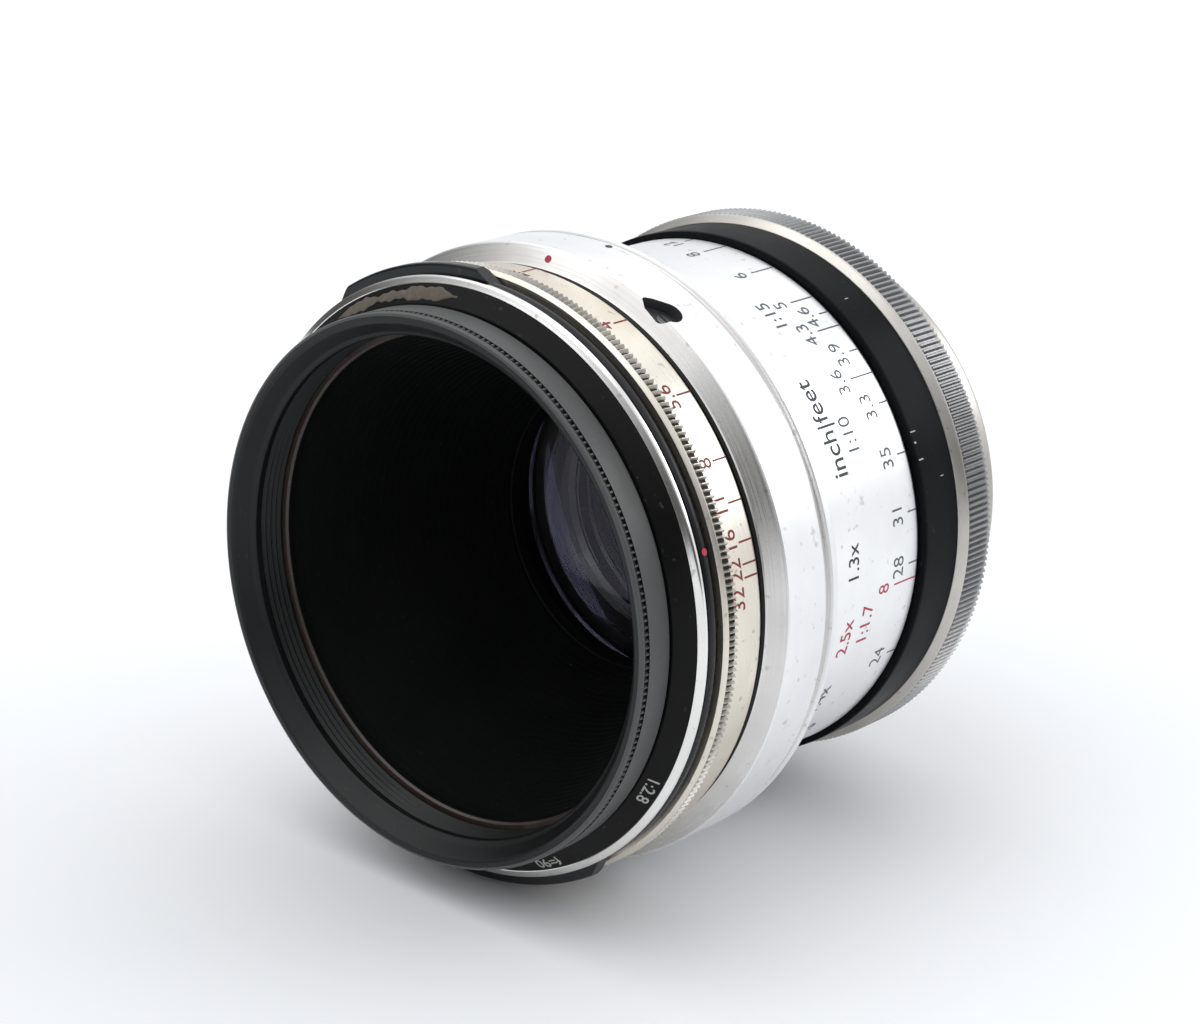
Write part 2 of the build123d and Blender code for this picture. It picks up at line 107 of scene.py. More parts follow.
class Graph:
    # a short way to write a material's nodes and links

    def __init__(self, name):
        self.material = bpy.data.materials.new(name)
        self.material.use_nodes = True
        self.tree = self.material.node_tree
        self.shader = self.tree.nodes["Principled BSDF"]
        self.coords = self.tree.nodes.new("ShaderNodeTexCoord").outputs["Object"]

    def add(self, kind, inputs=(), **settings):
        node = self.tree.nodes.new("ShaderNode" + kind)
        for key, value in settings.items():
            setattr(node, key, value)
        for key, value in dict(inputs).items():
            if hasattr(value, "is_linked"):
                self.tree.links.new(value, node.inputs[key])
            else:
                node.inputs[key].default_value = value
        return node

    def math(self, operation, first, second=0.0, third=0.0):
        node = self.add("Math", {0: first, 1: second, 2: third}, operation=operation)
        return node.outputs[0]

    def ramp(self, value, start, end, low, high):
        # maps value from start..end to low..high, clamped
        inputs = {"Value": value, "From Min": start, "From Max": end, "To Min": low, "To Max": high}
        return self.add("MapRange", inputs).outputs["Result"]

    def mix(self, factor, first, second):
        node = self.add("Mix", data_type="RGBA")
        for key, value in (("Factor_Float", factor), ("A_Color", first), ("B_Color", second)):
            socket = next(s for s in node.inputs if s.identifier == key)
            if hasattr(value, "is_linked"):
                self.tree.links.new(value, socket)
            else:
                socket.default_value = value if key == "Factor_Float" else (*value[:3], 1)
        return next(s for s in node.outputs if s.identifier == "Result_Color")

    def noise(self, scale, detail=3.0, stretch=(1, 1, 1), roughness=0.5):
        place = self.add("Mapping", {"Vector": self.coords, "Scale": stretch}).outputs[0]
        inputs = {"Vector": place, "Scale": scale, "Detail": detail, "Roughness": roughness}
        return self.add("TexNoise", inputs).outputs[0]

    def rings(self, fineness, detail=2.0):
        # noise that varies along the lens axis and outwards but not round it, as a lathe leaves
        parts = self.add("SeparateXYZ", {0: self.coords}).outputs
        squares = self.math("ADD", self.math("MULTIPLY", parts[0], parts[0]),
                            self.math("MULTIPLY", parts[2], parts[2]))
        outward = self.math("SQRT", squares)
        place = self.add("CombineXYZ", {0: outward, 1: parts[1], 2: 0.0}).outputs[0]
        return self.add("TexNoise", {"Vector": place, "Scale": fineness, "Detail": detail}).outputs[0]

    def bump(self, value, strength, depth):
        node = self.add("Bump", {"Height": value, "Strength": strength, "Distance": depth})
        self.tree.links.new(node.outputs[0], self.shader.inputs["Normal"])

    def set(self, **sockets):
        for key, value in sockets.items():
            names = {"base_color": "Base Color", "specular_level": "Specular IOR Level",
                     "transmission_weight": "Transmission Weight", "ior": "IOR"}
            name = names.get(key, key.capitalize())
            socket = self.shader.inputs[name]
            if hasattr(value, "is_linked"):
                self.tree.links.new(value, socket)
            elif name == "Base Color":
                socket.default_value = (*value[:3], 1)
            else:
                socket.default_value = value
        return self


speckBrown = (0.2, 0.17, 0.12)
dustGrey = (0.35, 0.33, 0.3)


def turnedMetal(name, colour, dark, roughness, grain, wear):
    # lathe-turned and plated metal: fine rings, cloudy tarnish, small handling marks
    graph = Graph(name)
    lathe = graph.rings(grain, 3)
    cloud = graph.noise(60, 5)
    specks = graph.ramp(graph.noise(900, 2), 0.66, 0.74, 0, 1)
    marks = graph.ramp(graph.noise(260, 4, (1, 5, 1)), 0.62, 0.72, 0, 1)
    tone = graph.mix(graph.ramp(cloud, 0.35, 0.7, 0, 1), colour, dark)
    tone = graph.mix(graph.math("MULTIPLY", marks, wear), tone, dark)
    tone = graph.mix(graph.math("MULTIPLY", specks, wear), tone, speckBrown)
    rough = graph.math("ADD", graph.ramp(lathe, 0.3, 0.7, roughness - 0.06, roughness + 0.08),
                       graph.ramp(cloud, 0.4, 0.7, 0, 0.08))
    graph.set(base_color=tone, metallic=1.0, roughness=rough)
    graph.bump(lathe, 0.12, 0.00005)
    return graph.material


def darkFinish(name, colour, bright, roughness, wear, shine, dusty):
    # black lacquer or anodising: dust, rubbed patches and a faint lathe grain
    graph = Graph(name)
    lathe = graph.rings(2500, 2)
    cloud = graph.noise(70, 6)
    dust = graph.ramp(graph.noise(1400, 3), 0.66, 0.78, 0, 1)
    rubbed = graph.ramp(graph.noise(180, 6, (1, 2.5, 1)), 0.6, 0.72, 0, 1)
    tone = graph.mix(graph.ramp(cloud, 0.4, 0.7, 0, 0.35), colour, bright)
    tone = graph.mix(graph.math("MULTIPLY", rubbed, wear), tone, bright)
    tone = graph.mix(graph.math("MULTIPLY", dust, dusty), tone, dustGrey)
    rough = graph.math("ADD", graph.ramp(cloud, 0.35, 0.7, roughness - 0.08, roughness + 0.1),
                       graph.math("MULTIPLY", rubbed, 0.08))
    graph.set(base_color=tone, roughness=rough, specular_level=shine)
    graph.bump(lathe, 0.1, 0.00004)
    return graph.material


def inkMaterial(name, colour, roughness):
    graph = Graph(name)
    worn = graph.ramp(graph.noise(1500, 3), 0.55, 0.8, 0, 0.35)
    lighter = tuple(min(1, c * 1.6 + 0.06) for c in colour)
    graph.set(base_color=graph.mix(worn, colour, lighter), roughness=roughness)
    return graph.material


def coatedGlass(name, tint, coatTint):
    # clear glass with a thin single coating that shows violet by reflection
    graph = Graph(name)
    smear = graph.ramp(graph.noise(90, 4), 0.45, 0.75, 0.0, 0.005)
    graph.set(base_color=tint, transmission_weight=1.0, roughness=smear, ior=1.52)
    graph.shader.inputs["Specular Tint"].default_value = (*coatTint, 1)
    return graph.material


metals = {
    # colour, dark, roughness, grain, wear
    "satinSilver": ((0.92, 0.92, 0.915), (0.80, 0.80, 0.80), 0.34, 2600, 0.3),
    "warmNickel": ((0.84, 0.79, 0.70), (0.66, 0.60, 0.50), 0.30, 3000, 0.4),
    "bevelGrey": ((0.76, 0.745, 0.72), (0.60, 0.58, 0.56), 0.26, 5200, 0.3),
    "threadGrey": ((0.50, 0.49, 0.47), (0.34, 0.33, 0.31), 0.30, 2600, 0.4),
    "rearNickel": ((0.62, 0.59, 0.54), (0.42, 0.40, 0.37), 0.30, 2800, 0.5),
    "knurlNickel": ((0.34, 0.34, 0.345), (0.22, 0.22, 0.22), 0.38, 2800, 0.5),
    # painted shade: a near-black metal for the bed between the preset ring's knurl teeth
    "knurlGapShade": ((0.04, 0.038, 0.034), (0.02, 0.02, 0.018), 0.6, 2800, 0.5),
    # a darker copy of warmNickel for the preset knurl teeth: painted shade on the teeth
    "knurlShadedSilver": ((0.62, 0.60, 0.55), (0.32, 0.31, 0.29), 0.34, 2800, 0.5),
    "chrome": ((0.90, 0.89, 0.87), (0.70, 0.68, 0.65), 0.12, 3500, 0.4),
    "threadBrass": ((0.62, 0.49, 0.26), (0.40, 0.30, 0.15), 0.3, 2400, 0.4),
    "screwSteel": ((0.34, 0.34, 0.35), (0.16, 0.16, 0.16), 0.35, 4000, 0.5),
    "bladeSteel": ((0.07, 0.07, 0.08), (0.04, 0.04, 0.05), 0.38, 900, 0.3),
}
blacks = {
    # colour, bright, roughness, wear, shine, dust
    "stepBlack": ((0.062, 0.064, 0.063), (0.085, 0.087, 0.086), 0.46, 0.3, 0.5, 0.1),
    # a darker copy of stepBlack: painted shade on the step ring's front face, inner faces and knurl bed
    "stepShadedBlack": ((0.007, 0.0078, 0.0078), (0.02, 0.021, 0.021), 0.42, 0.2, 0.3, 0.06),
    "nameBlack": ((0.006, 0.006, 0.006), (0.02, 0.019, 0.018), 0.34, 0.15, 0.1, 0.12),
    "ringBlack": ((0.006, 0.0065, 0.008), (0.03, 0.03, 0.033), 0.26, 0.2, 0.3, 0.1),
    "recessGrey": ((0.04, 0.04, 0.042), (0.07, 0.07, 0.072), 0.45, 0.3, 0.5, 0.25),
    "edgeBrown": ((0.035, 0.022, 0.018), (0.10, 0.075, 0.065), 0.35, 0.4, 0.5, 0.25),
    "baseBlack": ((0.0045, 0.005, 0.006), (0.015, 0.016, 0.018), 0.38, 0.25, 0.05, 0.06),
    "hoodBlack": ((0.004, 0.0045, 0.0043), (0.008, 0.0085, 0.008), 0.6, 0.3, 0.1, 0.03),
    "cellBlack": ((0.005, 0.005, 0.005), (0.012, 0.012, 0.012), 0.5, 0.2, 0.3, 0.05),
}
glasses = {
    # tint, tint of the coating
    "frontGlass": ((0.96, 0.96, 0.97), (0.42, 0.42, 0.78)),
    "innerGlass": ((0.96, 0.96, 0.97), (0.62, 0.60, 0.75)),
}
inks = {
    # colour, roughness
    "redInk": ((0.46, 0.03, 0.06), 0.55),
    "darkRedInk": ((0.20, 0.02, 0.014), 0.55),
    "blueInk": ((0.085, 0.105, 0.125), 0.55),
    "blackInk": ((0.03, 0.037, 0.05), 0.55),
    "whiteInk": ((0.42, 0.42, 0.40), 0.55),
    "glueBrown": ((0.12, 0.098, 0.078), 0.8),
}
finishes = {}
for table, make in ((metals, turnedMetal), (blacks, darkFinish), (glasses, coatedGlass), (inks, inkMaterial)):
    for name, values in table.items():
        finishes[name] = make(name, *values)
print("materials made", len(finishes))

nodeFinish = {
    "mount_adapter": "rearNickel", "clamp_ring": "rearNickel", "base_barrel": "baseBlack",
    "base_helicoid": "threadBrass", "rear_baffle": "cellBlack", "guide_ring": "threadBrass",
    "guide_bars": "threadBrass", "scale_tube": "satinSilver", "middle_helicoid": "threadBrass",
    "sleeve_screws": "screwSteel", "step_ring": "stepBlack", "name_ring": "nameBlack",
    "trim_ring": "chrome", "front_barrel": "cellBlack", "click_ball": "screwSteel",
    "hood_cone": "hoodBlack", "index_band": "satinSilver", "band_screw": "screwSteel",
    "head_helicoid": "satinSilver", "optic_carrier": "cellBlack", "carrier_lock_ring": "cellBlack",
    "front_cell": "cellBlack", "front_bezel": "hoodBlack", "front_element": "frontGlass",
    "middle_element": "innerGlass", "middle_retainer": "cellBlack", "rear_cell": "cellBlack",
    "rear_negative": "innerGlass", "rear_positive": "innerGlass", "rear_retainer": "cellBlack",
    "iris_housing": "cellBlack", "iris_drive_ring": "bladeSteel", "iris_drive_pin": "screwSteel",
    "iris_drive_sleeve": "cellBlack", "stop_down_screw": "screwSteel", "stop_down_ring": "ringBlack",
    "preset_ring": "warmNickel",
}


def paintNodes():
    # every carried-over CAD node gets its finish
    for name, node in nodes.items():
        finish = "bladeSteel" if name.startswith("iris_blade") else nodeFinish[name]
        node.data.materials.clear()
        node.data.materials.append(finishes[finish])


paintNodes()


# smooth lathe-turned bodies that stand for the faceted CAD rings

def newPiece(name, mesh, body, finish=None):
    piece = bpy.data.objects.new(name, mesh)
    bpy.context.scene.collection.objects.link(piece)
    if finish:
        mesh.materials.clear()
        mesh.materials.append(finishes[finish])
    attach(piece, body)
    return piece


def supported(outline, margin=0.1 * mm):
    # long straight runs get extra rings near their ends, so that smooth shading stays flat between them
    points = []
    for here, after in zip(outline, outline[1:] + outline[:1]):
        run = Vector(after) - Vector(here)
        points.append(here)
        if run.length > 4 * margin:
            step = run.normalized() * margin
            points += [tuple(Vector(here) + step), tuple(Vector(after) - step)]
    return points


def skin(work, here, after):
    # a row of quads between two closed loops of corners
    count = len(here)
    for k in range(count):
        work.faces.new((here[k], here[(k + 1) % count], after[(k + 1) % count], after[k]))


def meshFrom(work, name, sharp=None):
    # the finished mesh, smooth except at edges sharper than the given degrees
    bmesh.ops.recalc_face_normals(work, faces=work.faces)
    if sharp is not None:
        for face in work.faces:
            face.smooth = True
        for edge in work.edges:
            if edge.calc_face_angle(0) > math.radians(sharp):
                edge.smooth = False
    mesh = bpy.data.meshes.new(name)
    work.to_mesh(mesh)
    work.free()
    return mesh


def latheMesh(name, outline, steps=256, sharp=28):
    # outline is a closed loop of (radius, place) in metres, spun round the lens axis
    outline = supported(outline)
    work = bmesh.new()
    loops = []
    for step in range(steps):
        turn = 2 * math.pi * step / steps
        loops.append([work.verts.new((r * math.sin(turn), y, r * math.cos(turn))) for r, y in outline])
    for here, after in zip(loops, loops[1:] + loops[:1]):
        skin(work, here, after)
    return meshFrom(work, name, sharp)


def placed(node, points):
    # points are (inward, back) in mm from the outer radius and the front of the node's box
    low, high = boxOf(node)
    radius = (high.x - low.x) / 2
    return [(radius - inward * mm, low.y + back * mm) for inward, back in points]


def turnedPiece(node, body, slot, finish, points, **options):
    mesh = latheMesh(node + "Turned", placed(node, points), **options)
    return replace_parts(newPiece(node + "Turned", mesh, body, finish), node)


# one node tree repeats a small shape round the lens axis

def repeatTree():
    tree = bpy.data.node_groups.new("repeatRound", "GeometryNodeTree")
    face = tree.interface
    face.new_socket("Geometry", in_out="INPUT", socket_type="NodeSocketGeometry")
    for name, kind in (("Count", "Int"), ("Sweep", "Float"), ("Start", "Float"), ("Wobble", "Float"),
                       ("Seed", "Int"), ("Material", "Material")):
        face.new_socket(name, in_out="INPUT", socket_type="NodeSocket" + kind)
    face.new_socket("Geometry", in_out="OUTPUT", socket_type="NodeSocketGeometry")
    new, join = tree.nodes.new, tree.links.new
    inside, outside = new("NodeGroupInput"), new("NodeGroupOutput")
    line = new("GeometryNodeMeshLine")
    line.inputs["Offset"].default_value = (0, 0, 0)
    join(inside.outputs["Count"], line.inputs["Count"])
    index = new("GeometryNodeInputIndex")
    share = new("ShaderNodeMath")
    share.operation = "DIVIDE"
    join(index.outputs[0], share.inputs[0])
    join(inside.outputs["Count"], share.inputs[1])
    turn = new("ShaderNodeMath")
    turn.operation = "MULTIPLY_ADD"
    join(share.outputs[0], turn.inputs[0])
    join(inside.outputs["Sweep"], turn.inputs[1])
    join(inside.outputs["Start"], turn.inputs[2])
    chance = new("FunctionNodeRandomValue")
    chance.data_type = "FLOAT"
    floats = [s for s in chance.inputs if s.type == "VALUE"]
    floats[0].default_value, floats[1].default_value = -1, 1
    join(inside.outputs["Seed"], chance.inputs["Seed"])
    shake = new("ShaderNodeMath")
    shake.operation = "MULTIPLY_ADD"
    join(next(s for s in chance.outputs if s.type == "VALUE" and s.enabled), shake.inputs[0])
    join(inside.outputs["Wobble"], shake.inputs[1])
    join(turn.outputs[0], shake.inputs[2])
    spin = new("ShaderNodeCombineXYZ")
    join(shake.outputs[0], spin.inputs[1])
    copies = new("GeometryNodeInstanceOnPoints")
    join(line.outputs[0], copies.inputs["Points"])
    join(inside.outputs["Geometry"], copies.inputs["Instance"])
    join(spin.outputs[0], copies.inputs["Rotation"])
    real = new("GeometryNodeRealizeInstances")
    join(copies.outputs[0], real.inputs[0])
    paint = new("GeometryNodeSetMaterial")
    join(real.outputs[0], paint.inputs["Geometry"])
    join(inside.outputs["Material"], paint.inputs["Material"])
    join(paint.outputs[0], outside.inputs[0])
    return tree


roundTree = repeatTree()


def repeatRound(name, mesh, count, finish, sweep=360.0, start=0.0, wobble=0.0, seed=1):
    # copies of the mesh, turned round the lens axis, as one plain mesh
    carrier = bpy.data.objects.new(name + "Source", mesh)
    bpy.context.scene.collection.objects.link(carrier)
    modifier = carrier.modifiers.new("round", "NODES")
    modifier.node_group = roundTree
    values = {"Count": count, "Sweep": math.radians(sweep), "Start": math.radians(start),
              "Wobble": math.radians(wobble), "Seed": seed, "Material": finishes[finish]}
    for item in roundTree.interface.items_tree:
        if item.in_out == "INPUT" and item.name in values:
            modifier[item.identifier] = values[item.name]
    graph = bpy.context.evaluated_depsgraph_get()
    result = bpy.data.meshes.new_from_object(carrier.evaluated_get(graph))
    result.name = name
    bpy.data.objects.remove(carrier)
    return result


def ridgeMesh(name, radius, front, rear, width, height, crown=0.35, slope=0.5):
    # one straight knurl ridge at the top of the ring, with sloping flanks and ends
    mesh = bpy.data.meshes.new(name)
    half, top, low = width / 2, crown * width / 2, radius - 0.25 * mm
    peak = radius + height
    run = slope * height
    rows = [(front, low, half), (front, radius, half), (front + run, peak, top),
            (rear - run, peak, top), (rear, radius, half), (rear, low, half)]
    points = [(x, y, r) for y, r, w in rows for x in (-w, w)]
    faces = [(2 * k, 2 * k + 1, 2 * k + 3, 2 * k + 2) for k in range(5)]
    faces += [(0, 2, 8, 10), (2, 4, 6, 8), (1, 11, 9, 3), (3, 9, 7, 5), (10, 11, 1, 0)]
    mesh.from_pydata(points, [], faces)
    work = bmesh.new()
    work.from_mesh(mesh)
    bmesh.ops.recalc_face_normals(work, faces=work.faces)
    work.to_mesh(mesh)
    work.free()
    return mesh


def sectorPiece(name, outline, start, end, slant, steps=40):
    # part of a ring with slanting ends, outline as (radius, place), slant in degrees per mm of height
    work = bmesh.new()
    inner = min(r for r, _ in outline)
    loops = []
    for step in range(steps + 1):
        share = step / steps
        loop = []
        for r, y in outline:
            lean = slant * (r - inner) / mm
            turn = math.radians(start + lean + (end - start - 2 * lean) * share)
            loop.append(work.verts.new((r * math.sin(turn), y, r * math.cos(turn))))
        loops.append(loop)
    for here, after in zip(loops, loops[1:]):
        skin(work, here, after)
    work.faces.new(loops[0])
    work.faces.new(loops[-1])
    return meshFrom(work, name)


def joinMeshes(name, parts):
    # several meshes as one, keeping each one's finish
    work = bmesh.new()
    mesh = bpy.data.meshes.new(name)
    for part in parts:
        for material in part.materials:
            if material and material.name not in [m.name for m in mesh.materials]:
                mesh.materials.append(material)
    for part in parts:
        first = len(work.faces)
        work.from_mesh(part)
        work.faces.ensure_lookup_table()
        names = [m.name for m in mesh.materials]
        own = [names.index(m.name) for m in part.materials if m]
        for face in work.faces[first:]:
            face.material_index = own[min(face.material_index, len(own) - 1)] if own else 0
    work.to_mesh(mesh)
    work.free()
    return mesh


def painted(mesh, finish):
    mesh.materials.clear()
    mesh.materials.append(finishes[finish])
    return mesh


# step ring, name ring and trim at the front

stepRing = {"knurls": 270, "knurlHeight": 0.24, "threadPitch": 0.75, "threadDepth": 0.28}


def makeStepRing(values):
    pitch, depth = values["threadPitch"], values["threadDepth"]
    low, _ = boxOf("step_ring")
    outer = radiusOf("step_ring")
    points = [(0.95, 0.0), (0.45, 0.0), (0.2, 0.1), (0.08, 0.3), (0.06, 0.5), (0.32, 0.52), (0.32, 1.2),
              (0.06, 1.22), (0.05, 4.2), (0.2, 4.45), (0.65, 4.6), (0.65, 4.65), (1.62, 4.68), (1.62, 5.95),
              (2.8, 5.95)]
    back = 5.75
    while back - pitch > 2.4:
        points += [(2.8, back), (2.8 - depth, back - pitch * 0.5), (2.8, back - pitch)]
        back -= pitch
    points += [(2.8, 2.1), (2.72, 1.95), (2.3, 1.6), (1.25, 0.18)]
    clean = []
    for point in points:
        if not clean or point != clean[-1]:
            clean.append(point)
    ring = painted(latheMesh("stepRing", placed("step_ring", clean)), "stepBlack")
    ring.materials.append(finishes["stepShadedBlack"])
    # the front face, the inner faces and the knurl groove take the darker copy, painted shade
    for face in ring.polygons:
        outward = math.hypot(face.center.x, face.center.z)
        inShadedGroove = low.y + 0.5 * mm < face.center.y < low.y + 1.22 * mm
        if outward < outer - 0.4 * mm or inShadedGroove or face.center.y < low.y + 0.01 * mm:
            face.material_index = 1
    ridge = ridgeMesh("stepRidge", outer - 0.3 * mm, low.y + 0.5 * mm, low.y + 1.22 * mm,
                      2 * math.pi * outer / values["knurls"] * 0.5, values["knurlHeight"] * mm)
    knurl = repeatRound("stepKnurl", ridge, values["knurls"], "stepBlack", wobble=0.05)
    piece = newPiece("stepRing", joinMeshes("stepRing", [ring, knurl]), "head")
    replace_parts(piece, "step_ring")


makeStepRing(stepRing)
turnedPiece("name_ring", "head", "black_paint", "nameBlack",
            [(3.5, 0), (2.0, 0), (1.9, 0.02), (0.04, 1.4), (0, 1.5), (0, 2.2), (3.5, 2.2)])
turnedPiece("trim_ring", "head", "polished_chrome", "chrome",
            [(0.8, 0.0), (0.72, -0.02), (0.1, 0.3), (0.0, 0.42), (0, 0.7), (0.06, 0.75), (0.8, 0.75)])
print("front rings made")


# hood cone, bezel and glass

hood = {"steps": 30, "stepDepth": 0.08}


def makeHood(values):
    low, high = boxOf("hood_cone")
    outer = radiusOf("hood_cone")
    mouth, throat = outer - 1.9 * mm, 16.72 * mm
    front, rear = low.y, high.y
    flangeRear = front + 1.05 * mm
    outline = [(throat + 0.6 * mm, rear), (mouth + 0.55 * mm, flangeRear), (outer, flangeRear),
               (outer, front), (mouth + 0.3 * mm, front), (mouth, front + 0.3 * mm),
               (mouth - 0.05 * mm, flangeRear)]
    for step in range(values["steps"]):
        near, far = step / values["steps"], (step + 1) / values["steps"]
        for share, lift in ((near, 0.0), (far, values["stepDepth"] * mm)):
            radius = mouth + (throat - mouth) * share
            place = flangeRear + (rear - flangeRear) * share
            if step or lift:
                outline.append((radius + lift, place))
    outline[-1] = (throat, rear)
    mesh = painted(latheMesh("hoodCone", outline, sharp=12), "hoodBlack")
    mesh.materials.append(finishes["edgeBrown"])
    for face in mesh.polygons:
        if face.center.y < front + 0.2 * mm:
            face.material_index = 1
    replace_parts(newPiece("hoodCone", mesh, "head"), "hood_cone")


makeHood(hood)
turnedPiece("front_bezel", "head", "black_paint", "hoodBlack",
            [(0, 0), (1.05, 0), (1.2, 0.12), (1.2, 1.6), (0.95, 2.3), (0.75, 3.3), (0, 3.3)])


def dome(radius, bulge, rings):
    # heights of a sphere cap from the centre to the rim
    sphere = (radius ** 2 + bulge ** 2) / (2 * abs(bulge))
    way = 1 if bulge > 0 else -1
    shares = [k / rings for k in range(rings + 1)]
    return [(radius * s, way * (sphere - math.sqrt(sphere ** 2 - (radius * s) ** 2))) for s in shares]


def makeGlass(node, name, finish, frontBulge, rearBulge, rings=20, steps=128):
    # a polished element, built round the axis with closed poles
    low, high = boxOf(node)
    radius = radiusOf(node)
    frontPole = low.y if frontBulge >= 0 else low.y - frontBulge * mm
    rearPole = high.y if rearBulge >= 0 else high.y + rearBulge * mm
    profile = [(r, frontPole + rise) for r, rise in dome(radius, frontBulge * mm or 1e-6, rings)]
    profile += [(r, rearPole - rise) for r, rise in reversed(dome(radius, rearBulge * mm or 1e-6, rings))]
    work = bmesh.new()
    columns = []
    front = work.verts.new((0, profile[0][1], 0))
    rear = work.verts.new((0, profile[-1][1], 0))
    for step in range(steps):
        turn = 2 * math.pi * step / steps
        columns.append([work.verts.new((r * math.sin(turn), y, r * math.cos(turn)))
                        for r, y in profile[1:-1]])
    for step in range(steps):
        here, after = columns[step], columns[(step + 1) % steps]
        work.faces.new((front, here[0], after[0]))
        work.faces.new((rear, after[-1], here[-1]))
        for k in range(len(here) - 1):
            work.faces.new((here[k], here[k + 1], after[k + 1], after[k]))
    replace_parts(newPiece(name, meshFrom(work, name, 30), "head", finish), node)


makeGlass("front_element", "frontGlass", "frontGlass", 3.4, 0)
makeGlass("middle_element", "middleGlass", "innerGlass", -0.7, -1.5)
makeGlass("rear_negative", "rearNegativeGlass", "innerGlass", -0.8, -2.0)
makeGlass("rear_positive", "rearPositiveGlass", "innerGlass", 2.0, 1.3)
print("hood and glass made")


# stop-down ring with its two finger lugs

stopRing = {"lugCentres": (-18, 162), "lugWidth": 44, "slant": 3.2}


def makeStopRing(values):
    low, high = boxOf("stop_down_ring")
    outer, bore = 32.7 * mm, 30.08 * mm
    front, rear = low.y, high.y
    body = [(bore, front), (outer - 0.55 * mm, front), (outer - 0.5 * mm, front + 0.22 * mm),
            (outer - 0.2 * mm, front + 0.26 * mm), (outer - 0.05 * mm, front + 0.5 * mm),
            (outer, front + 0.8 * mm), (outer - 0.04 * mm, front + 1.1 * mm),
            (outer - 0.2 * mm, front + 1.35 * mm),
            (outer - 0.5 * mm, rear - 0.2 * mm), (outer - 0.55 * mm, rear), (bore, rear)]
    parts = [painted(latheMesh("stopBody", body), "ringBlack")]
    peak = 33.85 * mm
    lug = [(outer - 0.6 * mm, front + 0.05 * mm), (peak - 0.3 * mm, front + 0.05 * mm),
           (peak - 0.08 * mm, front + 0.15 * mm), (peak, front + 0.35 * mm), (peak, rear - 0.35 * mm),
           (peak - 0.3 * mm, rear - 0.05 * mm), (outer - 0.6 * mm, rear - 0.05 * mm)]
    for centre in values["lugCentres"]:
        half = values["lugWidth"] / 2
        part = sectorPiece("stopLug", lug, centre - half, centre + half, values["slant"])
        parts.append(painted(part, "ringBlack"))
    piece = newPiece("stopRing", joinMeshes("stopRing", parts), "stop_down")
    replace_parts(piece, "stop_down_ring")


makeStopRing(stopRing)


# preset ring with its fine knurl

presetRing = {"knurls": 300, "lean": 0.1, "knurlHeight": 0.44, "knurlFront": 0.5, "knurlRear": 2.1}


def makePresetRing(values):
    low, _ = boxOf("preset_ring")
    outer = radiusOf("preset_ring")
    points = [(3.4, 0), (0.5, 0), (0.42, 0.05), (0.12, 0.32), (0.08, 0.44), (0.5, 0.46), (3.4, 0.46)]
    lip = painted(latheMesh("presetLip", placed("preset_ring", points), steps=320), "warmNickel")
    points = [(3.4, 0.46), (0.5, 0.46), (0.5, 1.9), (0.95, 2.3), (3.4, 2.3)]
    # the bed under the knurl teeth is painted near black, as shade between the teeth
    shadedBed = painted(latheMesh("presetShadedBed", placed("preset_ring", points)), "knurlGapShade")
    points = [(3.4, 2.3), (0.96, 2.3), (0.9, 2.4), (0.9, 6.45), (1.0, 6.65), (1.2, 6.8), (3.4, 6.8)]
    ring = painted(latheMesh("presetBody", placed("preset_ring", points), steps=320), "warmNickel")
    pitch = 2 * math.pi * outer / values["knurls"]
    ridge = ridgeMesh("presetRidge", outer - 0.48 * mm, low.y + values["knurlFront"] * mm,
                      low.y + values["knurlRear"] * mm, pitch * 0.6, values["knurlHeight"] * mm, 0.15, 0.5)
    for vert in ridge.vertices:
        vert.co.x += values["lean"] * (vert.co.y - low.y)
    # the knurl teeth take the darker copy of the ring's nickel, painted shade
    knurl = repeatRound("presetKnurl", ridge, values["knurls"], "knurlShadedSilver", wobble=0.05, seed=3)
    piece = newPiece("presetRing", joinMeshes("presetRing", [lip, shadedBed, ring, knurl]), "preset")
    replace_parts(piece, "preset_ring")


makePresetRing(presetRing)
print("turning rings made")


# index band, with the drop-shaped recess cut through a boolean

band = {"screwAngle": 26.4, "screwBack": 2.6, "recess": 1.55, "recessDepth": 1.2, "tail": 3.1,
        "lean": 20.0}


def dropCutter(values, radius, place):
    # a drop-shaped prism pointing outward, round at one end and drawn to a point along the band
    work = bmesh.new()
    size, tail = values["recess"] * mm, values["tail"] * mm
    outline = []
    for k in range(25):
        turn = math.radians(-120 + 240 * k / 24)
        outline.append((size * math.cos(turn), size * math.sin(turn)))
    shoulder, waist, tip = tail * 0.75, size * 0.42, 0.05 * mm
    outline += [(-shoulder, waist), (-tail, tip), (-tail, -tip), (-shoulder, -waist)]
    lean = Matrix.Rotation(math.radians(values["lean"]), 2)
    outline = [tuple(lean @ Vector(point)) for point in outline]
    rows = []
    for r in (radius - values["recessDepth"] * mm, radius + 1.5 * mm):
        rows.append([work.verts.new((u, place + v, r)) for u, v in outline])
    count = len(outline)
    for k in range(count):
        work.faces.new((rows[0][k], rows[0][(k + 1) % count], rows[1][(k + 1) % count], rows[1][k]))
    work.faces.new(rows[0])
    work.faces.new(rows[1])
    bmesh.ops.recalc_face_normals(work, faces=work.faces)
    spin = Matrix.Rotation(math.radians(values["screwAngle"]), 3, "Y")
    bmesh.ops.transform(work, matrix=spin.to_4x4(), verts=work.verts)
    mesh = bpy.data.meshes.new("dropCutter")
    work.to_mesh(mesh)
    work.free()
    return painted(mesh, "recessGrey")


